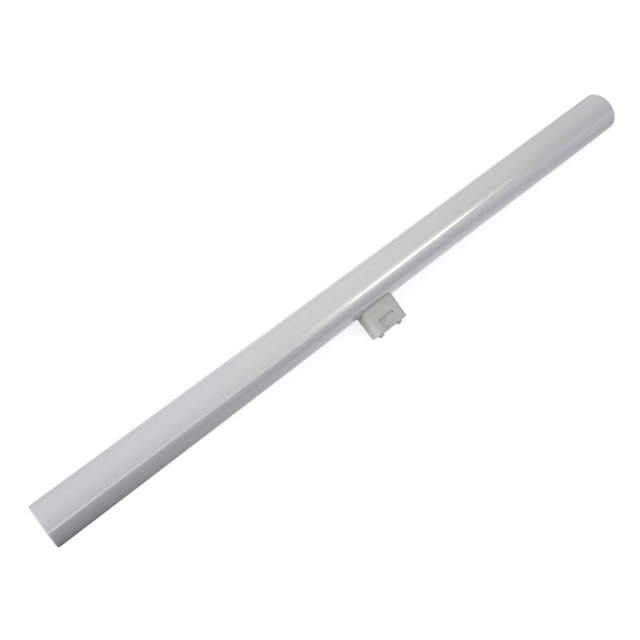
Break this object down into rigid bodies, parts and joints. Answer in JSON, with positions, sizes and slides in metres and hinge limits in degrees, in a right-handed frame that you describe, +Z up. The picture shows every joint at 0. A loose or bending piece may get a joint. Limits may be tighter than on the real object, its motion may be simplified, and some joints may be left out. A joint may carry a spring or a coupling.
{
  "type": "tubular light bulb",
  "caption": "Straight opal tube lamp with closed ends and a moulded side cap at its middle, which plugs into a lamp holder by domed contacts and latches by its flanks.",
  "frame": {"origin": "middle of the footprint, on the table that the lamp lies on", "axes": "+X along the tube, -Y towards the side cap, +Z up; the lamp lies on the tube's side and on the cap's lower edge"},
  "size_m": [0.5, 0.0484, 0.03],
  "materials": {
    "opal_tube": "glossy opal",
    "cap_plastic": "satin moulded",
    "contact_metal": "plated, turned"
  },
  "bodies": {
    "root": {"opal_tube": "opal_tube", "cap_housing": "cap_plastic", "contact_pin_left": "contact_metal", "contact_pin_right": "contact_metal"}
  },
  "joints": []
}
